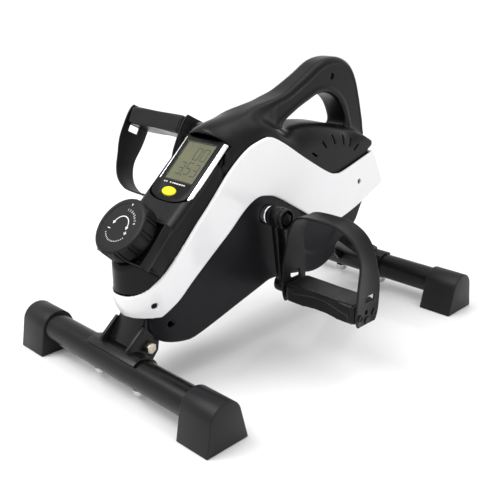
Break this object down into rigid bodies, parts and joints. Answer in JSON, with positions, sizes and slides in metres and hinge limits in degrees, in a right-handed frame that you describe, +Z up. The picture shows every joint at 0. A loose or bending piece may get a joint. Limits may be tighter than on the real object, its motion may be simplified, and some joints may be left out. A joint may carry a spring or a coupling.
{
  "type": "pedal exerciser",
  "caption": "Portable pedal exerciser: cranks with strapped pedals, belt-driven flywheel with magnetic brake and tension knob, console and carrying handle.",
  "frame": {"origin": "on the floor, under the middle of the machine's bounding box", "axes": "+X towards the rider's right-hand side, -Y towards the console end where the rider sits, +Z up"},
  "size_m": [0.406, 0.545, 0.364],
  "materials": {
    "powder_coat_black": "satin powder coat",
    "foot_rubber": "matte moulded",
    "casing_black": "satin moulded",
    "cover_white": "gloss",
    "chrome": "bright plated",
    "zinc_steel": "zinc plated",
    "bolt_brass": "yellow zinc",
    "lcd_olive": "reflective display",
    "window_clear": "clear moulded",
    "button_yellow": "semi-gloss",
    "circuit_green": "lacquered board",
    "belt_rubber": "matte",
    "magnet_nickel": "nickel plated",
    "cast_iron": "turned",
    "pedal_rubber": "satin moulded",
    "strap_rubber": "matte moulded"
  },
  "bodies": {
    "frame": {"front_tube": "powder_coat_black", "foot_front_right": "foot_rubber", "foot_front_left": "foot_rubber", "front_bracket": "powder_coat_black", "tube_bolt_front_right": "zinc_steel", "tube_bolt_front_left": "zinc_steel", "front_frame_bolt": "bolt_brass", "rear_tube": "powder_coat_black", "foot_rear_right": "foot_rubber", "foot_rear_left": "foot_rubber", "rear_bracket": "powder_coat_black", "tube_bolt_rear_right": "zinc_steel", "tube_bolt_rear_left": "zinc_steel", "rear_frame_bolt": "bolt_brass", "main_frame": "powder_coat_black", "spindle_bearing_right": "zinc_steel", "spindle_bearing_left": "zinc_steel", "lower_shell_right": "casing_black", "upper_shell_right": "casing_black", "side_cover_right": "cover_white", "lower_shell_left": "casing_black", "upper_shell_left": "casing_black", "side_cover_left": "cover_white", "casing_screw_lower": "zinc_steel", "casing_screw_handle": "zinc_steel", "casing_screw_nose": "zinc_steel", "casing_screw_rear": "zinc_steel", "console_housing": "casing_black", "console_window": "window_clear", "lcd_panel": "lcd_olive", "console_board": "circuit_green", "console_trim_right": "chrome", "console_trim_left": "chrome", "knob_bezel": "casing_black", "tension_cable": "belt_rubber", "spindle_collar_right": "chrome", "spindle_collar_left": "chrome", "drive_belt": "belt_rubber", "return_spring": "zinc_steel", "speed_sensor": "casing_black"},
    "crank": {"crank_spindle": "zinc_steel", "drive_pulley": "casing_black", "crank_right": "powder_coat_black", "crank_left": "powder_coat_black", "crank_nut_right": "zinc_steel", "crank_nut_left": "zinc_steel", "pedal_axle_right": "zinc_steel", "pedal_axle_left": "zinc_steel"},
    "pedal_right": {"pedal_right": "pedal_rubber", "strap_right": "strap_rubber"},
    "pedal_left": {"pedal_left": "pedal_rubber", "strap_left": "strap_rubber"},
    "flywheel": {"flywheel": "cast_iron", "flywheel_axle": "zinc_steel", "belt_wheel": "zinc_steel"},
    "brake": {"magnet_bracket": "powder_coat_black", "brake_magnet": "magnet_nickel"},
    "knob": {"tension_knob": "casing_black", "tension_shaft": "zinc_steel"},
    "button": {"console_button": "button_yellow"}
  },
  "joints": [
    {"name": "crank_turn", "type": "hinge", "parent": "frame", "child": "crank", "pos_m": [0, -0.032, 0.183], "axis": [1, 0, 0], "continuous": true},
    {"name": "right_pedal_turn", "type": "hinge", "parent": "crank", "child": "pedal_right", "pos_m": [0.14, -0.01927, 0.08886], "axis": [1, 0, 0], "continuous": true},
    {"name": "left_pedal_turn", "type": "hinge", "parent": "crank", "child": "pedal_left", "pos_m": [-0.14, -0.04473, 0.27714], "axis": [1, 0, 0], "continuous": true},
    {"name": "flywheel_spin", "type": "hinge", "parent": "frame", "child": "flywheel", "pos_m": [0, 0.072, 0.15], "axis": [1, 0, 0], "continuous": true},
    {"name": "knob_turn", "type": "hinge", "parent": "frame", "child": "knob", "pos_m": [0, -0.213, 0.187], "axis": [0, 0.7193, -0.6947], "range_deg": [0, 280]},
    {"name": "brake_swing", "type": "hinge", "parent": "frame", "child": "brake", "pos_m": [-0.024, 0.005, 0.196], "axis": [1, 0, 0], "range_deg": [-5, 0]},
    {"name": "button_press", "type": "slide", "parent": "frame", "child": "button", "axis": [0, 0.682, -0.7314], "range_m": [0, 0.0012], "stiffness_N_per_m": 800}
  ],
  "couplings": [
    {"joint": "flywheel_spin", "follows": "crank_turn", "ratio": 5.1667},
    {"joint": "brake_swing", "follows": "knob_turn", "ratio": -0.0171}
  ]
}
